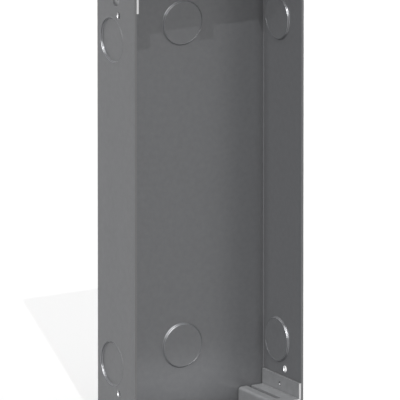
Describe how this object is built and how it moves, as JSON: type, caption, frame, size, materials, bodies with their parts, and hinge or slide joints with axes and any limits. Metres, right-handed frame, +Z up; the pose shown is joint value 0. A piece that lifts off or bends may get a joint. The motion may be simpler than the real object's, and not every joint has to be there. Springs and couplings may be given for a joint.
{
  "type": "flush mounting box",
  "caption": "Tall shallow steel box, open at the front, with round half-sheared knock-outs in its back and sides and a folded bracket in each corner.",
  "frame": {"origin": "centre of the box's outline at the level of its foot", "axes": "+X across the front to the right as seen from the open side, +Y from the open front to the back, +Z up along the box's height"},
  "size_m": [0.123, 0.0482, 0.297],
  "materials": {
    "tray_steel": "steel sheet with a thin grey satin coating",
    "bracket_steel": "bright zinc-plated steel sheet, satin"
  },
  "bodies": {
    "root": {"box_body": "tray_steel", "bracket_bottom_left": "bracket_steel", "bracket_bottom_right": "bracket_steel", "bracket_top_left": "bracket_steel", "bracket_top_right": "bracket_steel"}
  },
  "joints": []
}
